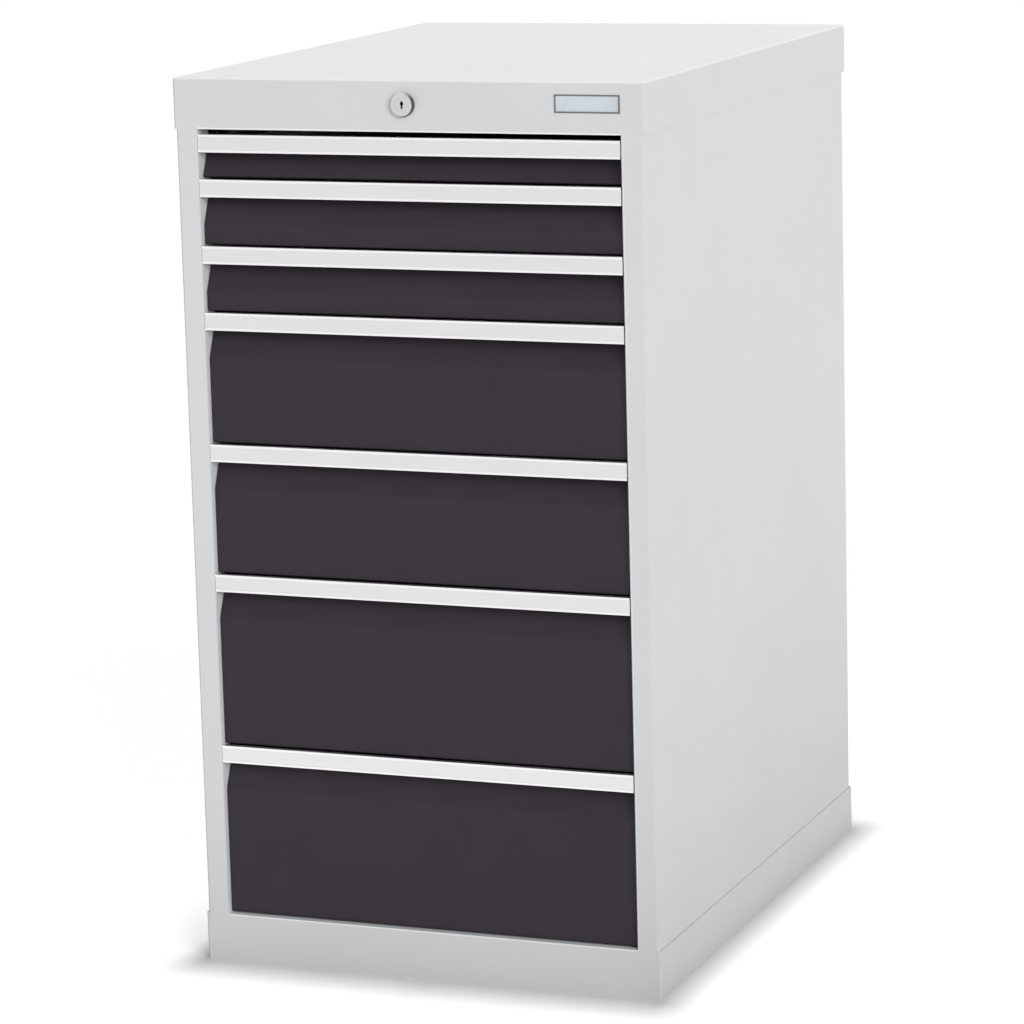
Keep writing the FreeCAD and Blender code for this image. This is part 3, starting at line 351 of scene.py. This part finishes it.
def strip_aluminium(settings):
    """Anodised extrusion: fine lines along its length, and lips proud of the channel painted lighter, a
    painted highlight.
    """
    material, tree, shader = new_material("strip_aluminium", Metallic=1.0, Anisotropic=0.4)
    where = place(tree)
    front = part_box("handle_strip_1")[0].y
    depth = axes(tree, where)["Y"]
    in_channel = spread(tree, depth, 0.0, 1.0, front + LIP_FACE, front + CHANNEL_FLOOR)
    lines = noise(tree, where, settings.brush_pitch, 3.0, stretch=BRUSH_STRETCH)
    blotches = noise(tree, where, BLOTCH_WIDTH, 2.0, stretch=BLOTCH_STRETCH)
    brushed = shade(tree, settings.strip_colour, spread(tree, lines, *BRUSH_TONE))
    link(tree, shader,
         Base_Color=blend_colours(tree, in_channel, settings.lip_highlight_colour, brushed),
         Roughness=spread(tree, blotches, *STRIP_ROUGHNESS),
         Normal=bump(tree, lines, LINE_RELIEF))
    return material


ZINC = (0.60, 0.61, 0.63)
SPANGLE_WIDTH = 0.012
SPANGLE_TONE = (0.92, 1.06)
ROLLING_PITCH = 0.0012
ROLLING_STRETCH = (1.0, 0.03, 1.0)
DULL_PATCH_WIDTH = 0.08
ZINC_ROUGHNESS = (0.28, 0.46)


def zinc_steel():
    """Bright zinc plating with a faint spangle, rolling lines and a few dull patches."""
    material, tree, shader = new_material("zinc_steel", Metallic=1.0)
    where = place(tree)
    spangle = noise(tree, where, SPANGLE_WIDTH, 2.0)
    lines = noise(tree, where, ROLLING_PITCH, 2.0, stretch=ROLLING_STRETCH)
    dull = noise(tree, where, DULL_PATCH_WIDTH, 3.0)
    link(tree, shader,
         Base_Color=shade(tree, ZINC, spread(tree, spangle, *SPANGLE_TONE)),
         Roughness=spread(tree, dull, *ZINC_ROUGHNESS),
         Normal=bump(tree, lines, LINE_RELIEF))
    return material


# The lock. Its rings are counted per metre, heights are above its middle, depths behind its face

RING_COUNT = 3500.0
RING_TONE = (0.95, 1.04)
RING_RELIEF = 0.000008
FACE_TURN = (0.75, 0.92)
# The side and turn below place a painted shade on one side of the rim's wall
SHADED_SIDE = (0.90, 0.0, -0.43)
SHADE_TURN = (-0.25, 0.55)
THUMB_WIDTH = 0.006
LOCK_ROUGHNESS = (0.24, 0.36)
# The eye's black and the tail's darkness below are painted shade in the keyhole
EYE_RADIUS = 0.009
EYE_LOW = -0.0012
EYE_FADE = 0.0008
EYE_DEPTH = (0.0018, 0.0030)
KEYHOLE_SHADE = (0.004, 0.004, 0.004)
TAIL_SHADE = 0.1


def lock_nickel(settings):
    """Satin nickel, turned in fine circles, with painted shade on one side of the rim's wall and painted
    shade, black, in the keyhole.
    """
    material, tree, shader = new_material("lock_nickel", Metallic=1.0)
    where = place(tree)
    low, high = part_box("lock_housing")
    centre = (low + high) / 2
    level = add(tree, "Mapping", {
        "Vector": where, "Location": (-centre.x, 0.0, -centre.z),
        "Scale": (1.0, 0.0, 1.0)}).outputs["Vector"]
    radius = vectors(tree, "LENGTH", level, result="Value")
    rings = add(tree, "TexNoise", {
        "W": radius, "Scale": RING_COUNT, "Detail": 2.0}, noise_dimensions="1D").outputs["Fac"]
    face = shade(tree, settings.colour, spread(tree, rings, *RING_TONE))

    # Painted shade: the rim's wall darkens towards its lower right side
    outward = vectors(tree, "NORMALIZE", level)
    toward_shade = vectors(tree, "DOT_PRODUCT", outward, SHADED_SIDE, result="Value")
    dull = spread(tree, toward_shade, 0.0, 1.0, *SHADE_TURN)
    wall = blend_colours(tree, dull, settings.colour, settings.rim_shade_colour)
    forward = maths(tree, "ABSOLUTE", axes(tree, add(tree, "NewGeometry").outputs["Normal"])["Y"])
    on_face = spread(tree, forward, 0.0, 1.0, *FACE_TURN)
    plated = blend_colours(tree, on_face, wall, face)

    # Painted shade: black deep in the keyhole's eye, only faint in its slot
    sunk = spread(tree, axes(tree, where)["Y"], 0.0, 1.0, low.y + EYE_DEPTH[0], low.y + EYE_DEPTH[1])
    inner = maths(tree, "LESS_THAN", radius, EYE_RADIUS)
    black = spread(tree, axes(tree, level)["Z"], TAIL_SHADE, 1.0, EYE_LOW - EYE_FADE, EYE_LOW)
    in_eye = maths(tree, "MULTIPLY", maths(tree, "MULTIPLY", sunk, inner), black)
    thumbed = noise(tree, where, THUMB_WIDTH, 3.0)
    link(tree, shader,
         Base_Color=blend_colours(tree, in_eye, plated, KEYHOLE_SHADE),
         Roughness=spread(tree, thumbed, *LOCK_ROUGHNESS),
         Normal=bump(tree, rings, RING_RELIEF))
    return material


# Plastic and rubber

RUBBER_BLACK = (0.02, 0.02, 0.02)
FRAME_GREY = (0.175, 0.170, 0.170)
BLEND_WIDTH = 0.02
BLEND_TONE = (0.96, 1.04)
SKIN_CHANGE = 0.05


def moulded(name, colour, roughness, texture, relief):
    """Moulded plastic or rubber with a fine matt skin."""
    material, tree, shader = new_material(name, Specular_IOR_Level=0.4)
    where = place(tree)
    skin = noise(tree, where, texture, 3.0)
    patches = noise(tree, where, BLEND_WIDTH, 2.0)
    link(tree, shader,
         Base_Color=shade(tree, colour, spread(tree, patches, *BLEND_TONE)),
         Roughness=spread(tree, skin, roughness - SKIN_CHANGE, roughness + SKIN_CHANGE),
         Normal=bump(tree, skin, relief))
    return material


def finish(material, *names):
    """Give nodes of the frame a material in place of the plain one."""
    for name in names:
        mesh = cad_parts[name].data
        mesh.materials.clear()
        mesh.materials.append(material)


def numbered(prefix):
    """The names of the seven nodes, one for each drawer, that start with a prefix."""
    return ["%s_%d" % (prefix, number) for number in DRAWERS]


# Operators

class CABINET_OT_housing(bpy.types.Operator):
    """Paint the cap, walls, plinth and inner sheets light grey"""

    bl_idname = "cabinet.housing"
    bl_label = "Housing"
    bl_options = {"REGISTER", "UNDO"}

    def execute(self, context):
        settings = context.scene.cabinet_housing
        paint = powder_coat("housing_enamel", settings.colour, settings.grain, settings.relief,
                            specular=0.35, roughness=0.46, with_painted_light=True)
        finish(paint, "top_cap", "header_channel", "side_panel_left", "side_panel_right",
               "rear_panel", "plinth", "floor_pan")
        return {"FINISHED"}


class CABINET_OT_trays(bpy.types.Operator):
    """Paint the drawers' trays"""

    bl_idname = "cabinet.trays"
    bl_label = "Trays"
    bl_options = {"REGISTER", "UNDO"}

    def execute(self, context):
        settings = context.scene.cabinet_housing
        paint = powder_coat("tray_enamel", settings.tray_colour, settings.grain, settings.relief,
                            specular=0.35, roughness=0.44)
        finish(paint, *numbered("drawer_tray"))
        return {"FINISHED"}


class CABINET_OT_fronts(bpy.types.Operator):
    """Paint the drawer fronts anthracite"""

    bl_idname = "cabinet.fronts"
    bl_label = "Drawer fronts"
    bl_options = {"REGISTER", "UNDO"}

    def execute(self, context):
        paint_texture = context.scene.cabinet_housing
        paint = powder_coat("front_enamel", context.scene.cabinet_fronts.colour,
                            paint_texture.grain, paint_texture.relief,
                            specular=0.25, roughness=0.52)
        finish(paint, *numbered("drawer_front"))
        return {"FINISHED"}


class CABINET_OT_strips(bpy.types.Operator):
    """Brush and anodise the handle strips"""

    bl_idname = "cabinet.strips"
    bl_label = "Handle strips"
    bl_options = {"REGISTER", "UNDO"}

    def execute(self, context):
        finish(strip_aluminium(context.scene.cabinet_fronts), *numbered("handle_strip"))
        return {"FINISHED"}


class CABINET_OT_slides(bpy.types.Operator):
    """Plate the slides, uprights and locking gear, and colour the buffers"""

    bl_idname = "cabinet.slides"
    bl_label = "Slides and locking gear"
    bl_options = {"REGISTER", "UNDO"}

    def execute(self, context):
        finish(zinc_steel(), "cabinet_rails_left", "cabinet_rails_right", "rail_screws",
               "upright_front_left", "upright_front_right", "upright_rear_left",
               "upright_rear_right", "lock_link", "locking_bar", "locking_hooks", "lock_guides",
               *numbered("drawer_rails"), *numbered("middle_rails"))
        rubber = moulded("black_rubber", RUBBER_BLACK, roughness=0.75, texture=0.0008, relief=0.00003)
        finish(rubber, "rail_buffers")
        return {"FINISHED"}


class CABINET_OT_lock(bpy.types.Operator):
    """Plate the lock"""

    bl_idname = "cabinet.lock"
    bl_label = "Lock"
    bl_options = {"REGISTER", "UNDO"}

    def execute(self, context):
        finish(lock_nickel(context.scene.cabinet_lock),
               "lock_housing", "lock_cylinder", "lock_cam", "lock_nut")
        return {"FINISHED"}


class CABINET_OT_nameplate(bpy.types.Operator):
    """Colour the bare nameplate and its frame"""

    bl_idname = "cabinet.nameplate"
    bl_label = "Nameplate"
    bl_options = {"REGISTER", "UNDO"}

    def execute(self, context):
        plate_colour = context.scene.cabinet_lock.plate_colour
        plate = moulded("plate_white", plate_colour, roughness=0.35, texture=0.0015, relief=0.000005)
        rim = moulded("plate_frame", FRAME_GREY, roughness=0.5, texture=0.0006, relief=0.00001)
        finish(plate, "nameplate")
        finish(rim, "nameplate_frame")
        return {"FINISHED"}


# The stage. A reach is the distance from the cabinet's foot, in metres, where a change starts and ends

WHITE = (1.0, 1.0, 1.0, 1.0)
# Near the foot the floor bounces less light, a painted shade on the lower walls; its glow for the
# camera, the lift, fades out near the foot, a painted shade there
FLOOR_TONE = 0.88
FOOT_BOUNCE_SHADE = 0.42
FOOT_REACH = (0.15, 0.40)
RIGHT_BOUNCE_SHADE = 0.20
RIGHT_REACH = (0.34, 0.50)
RIGHT_FADE = 0.04
LIFT = 0.26
LIFT_REACH = (0.0, 0.11)
WHITE_REACH = (0.35, 1.3)
KEY_FROM = Vector((0.702, -0.664, 0.259))
FAR_CLIP = 4


class CABINET_OT_stage(bpy.types.Operator):
    """Add the floor, the light all round, the two lamps and the camera"""

    bl_idname = "cabinet.stage"
    bl_label = "Stage"
    bl_options = {"REGISTER", "UNDO"}

    def execute(self, context):
        settings = context.scene.cabinet_stage
        self.add_floor(context, settings)
        self.light_world(context, settings)
        self.add_softbox(context, settings)
        self.add_key(context, settings)
        self.add_camera(context, settings)
        context.scene.view_settings.view_transform = "Standard"
        return {"FINISHED"}

    def add_floor(self, context, settings):
        """A square sheet, white where seen but for the shadow; its glow for the camera fades out near
        the foot, a painted shade there, and the light it bounces is painted darker near the foot, a
        painted shade on the lower walls.
        """
        mesh = bpy.data.meshes.new("floor")
        shape = bmesh.new()
        bmesh.ops.create_grid(shape, x_segments=1, y_segments=1, size=settings.floor_width / 2)
        bmesh.ops.translate(shape, vec=(0.0, 0.0, CAD_BOX[0].z), verts=shape.verts)
        shape.to_mesh(mesh)
        shape.free()
        floor = bpy.data.objects.new("floor", mesh)
        context.scene.collection.objects.link(floor)
        material = bpy.data.materials.new("floor_paper")
        material.use_nodes = True
        tree = material.node_tree
        tree.nodes.clear()
        seen = seen_directly(tree)
        away = self.away_from_foot(tree)
        right = CAD_BOX[1].x
        on_right = spread(tree, axes(tree, place(tree))["X"], 0.0, 1.0, right - RIGHT_FADE, right)
        # Painted shade: near the foot, and further out on the right, the floor bounces less light onto
        # the walls
        at_foot = spread(tree, away, FOOT_BOUNCE_SHADE, FLOOR_TONE, *FOOT_REACH)
        at_right = spread(tree, away, RIGHT_BOUNCE_SHADE, FLOOR_TONE, *RIGHT_REACH)
        painted_bounce_shade = blend(tree, on_right, at_foot, at_right)
        paper = add(tree, "BsdfDiffuse", {"Color": blend(tree, seen, painted_bounce_shade, FLOOR_TONE)})
        # The glow for the camera fades out near the foot, painting the floor there darker on top of its
        # real shadow
        lift = maths(tree, "MULTIPLY", seen, spread(tree, away, 0.0, LIFT, *LIFT_REACH))
        glow = add(tree, "Emission", {"Strength": lift})
        near = add(tree, "AddShader", {0: paper.outputs["BSDF"], 1: glow.outputs["Emission"]})
        far = add(tree, "Emission", {"Strength": 1.0})
        fade = maths(tree, "MULTIPLY", seen, spread(tree, away, 0.0, 1.0, *WHITE_REACH))
        whole = add(tree, "MixShader", {
            0: fade, 1: near.outputs["Shader"], 2: far.outputs["Emission"]})
        add(tree, "OutputMaterial", {"Surface": whole.outputs["Shader"]})
        mesh.materials.append(material)

    def away_from_foot(self, tree):
        """Distance of a point of the floor from the cabinet's foot, in metres."""
        middle = (CAD_BOX[0] + CAD_BOX[1]) / 2
        half = (CAD_BOX[1] - CAD_BOX[0]) / 2
        centred = vectors(tree, "SUBTRACT", place(tree), (middle.x, middle.y, 0.0))
        mirrored = vectors(tree, "ABSOLUTE", centred)
        outside = vectors(tree, "SUBTRACT", mirrored, (half.x, half.y, 0.0))
        beyond = vectors(tree, "MAXIMUM", outside, (0.0, 0.0, 0.0))
        flat = vectors(tree, "MULTIPLY", beyond, (1.0, 1.0, 0.0))
        return vectors(tree, "LENGTH", flat, result="Value")

    def light_world(self, context, settings):
        """Even grey light, and white where it is seen directly."""
        world = bpy.data.worlds.new("studio")
        world.use_nodes = True
        tree = world.node_tree
        tree.nodes.clear()
        light = add(tree, "Background", {"Color": WHITE, "Strength": settings.fill})
        white = add(tree, "Background", {"Color": WHITE, "Strength": 1.0})
        mix = add(tree, "MixShader", {
            0: seen_directly(tree), 1: light.outputs["Background"], 2: white.outputs["Background"]})
        add(tree, "OutputWorld", {"Surface": mix.outputs["Shader"]})
        context.scene.world = world

    def add_softbox(self, context, settings):
        """A rectangular lamp above, as strong on the floor as the same share of the fill light."""
        lamp = bpy.data.lights.new("softbox", "AREA")
        lamp.shape = "RECTANGLE"
        lamp.size = settings.overhead_width
        lamp.size_y = settings.overhead_depth
        height = settings.overhead_place[2] - CAD_BOX[0].z
        lamp.energy = settings.overhead * (math.pi * height) ** 2
        softbox = bpy.data.objects.new("softbox", lamp)
        softbox.location = settings.overhead_place
        softbox.visible_glossy = False
        context.scene.collection.objects.link(softbox)

    def add_key(self, context, settings):
        """A distant lamp, as strong as the same share of the fill light."""
        lamp = bpy.data.lights.new("key", "SUN")
        lamp.energy = math.pi * settings.key
        lamp.angle = settings.key_spread
        key = bpy.data.objects.new("key", lamp)
        key.rotation_euler = KEY_FROM.to_track_quat("Z", "Y").to_euler()
        key.visible_glossy = False
        context.scene.collection.objects.link(key)

    def add_camera(self, context, settings):
        """A camera at the set angle, distance and roll, that looks at the aim."""
        azimuth = settings.azimuth
        elevation = settings.elevation
        back = Vector((
            math.sin(azimuth) * math.cos(elevation),
            -math.cos(azimuth) * math.cos(elevation),
            math.sin(elevation)))
        lens = bpy.data.cameras.new("camera")
        lens.lens = settings.focal_length
        lens.clip_end = FAR_CLIP * settings.floor_width
        camera = bpy.data.objects.new("camera", lens)
        turn = (-back).to_track_quat("-Z", "Y").to_matrix() @ Matrix.Rotation(settings.roll, 3, "Z")
        camera.rotation_euler = turn.to_euler()
        camera.location = Vector(settings.aim) + settings.distance * back
        context.scene.collection.objects.link(camera)
        context.scene.camera = camera


SETTINGS = {
    "cabinet_housing": HousingSettings,
    "cabinet_fronts": FrontSettings,
    "cabinet_lock": LockSettings,
    "cabinet_stage": StageSettings,
}

PIECES = (
    CABINET_OT_housing,
    CABINET_OT_trays,
    CABINET_OT_fronts,
    CABINET_OT_strips,
    CABINET_OT_slides,
    CABINET_OT_lock,
    CABINET_OT_nameplate,
    CABINET_OT_stage,
)


class CABINET_PT_sidebar(bpy.types.Panel):
    """Sizes, colours and pieces of the drawer cabinet"""

    bl_idname = "CABINET_PT_sidebar"
    bl_label = "Drawer Cabinet"
    bl_space_type = "VIEW_3D"
    bl_region_type = "UI"
    bl_category = "Drawer Cabinet"

    def draw(self, context):
        layout = self.layout
        for group in SETTINGS:
            box = layout.box()
            values = getattr(context.scene, group)
            for name in SETTINGS[group].__annotations__:
                box.prop(values, name)
        for piece in PIECES:
            layout.operator(piece.bl_idname)


def register():
    """Add the settings, the operators and the panel."""
    for group, settings in SETTINGS.items():
        bpy.utils.register_class(settings)
        setattr(bpy.types.Scene, group, PointerProperty(type=settings))
    for piece in PIECES:
        bpy.utils.register_class(piece)
    bpy.utils.register_class(CABINET_PT_sidebar)


def unregister():
    """Take away the panel, the operators and the settings."""
    bpy.utils.unregister_class(CABINET_PT_sidebar)
    for piece in reversed(PIECES):
        bpy.utils.unregister_class(piece)
    for group, settings in reversed(SETTINGS.items()):
        delattr(bpy.types.Scene, group)
        bpy.utils.unregister_class(settings)


def main():
    """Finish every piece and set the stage."""
    register()
    for piece in PIECES:
        family, action = piece.bl_idname.split(".")
        getattr(getattr(bpy.ops, family), action)()


if __name__ == "__main__":
    main()
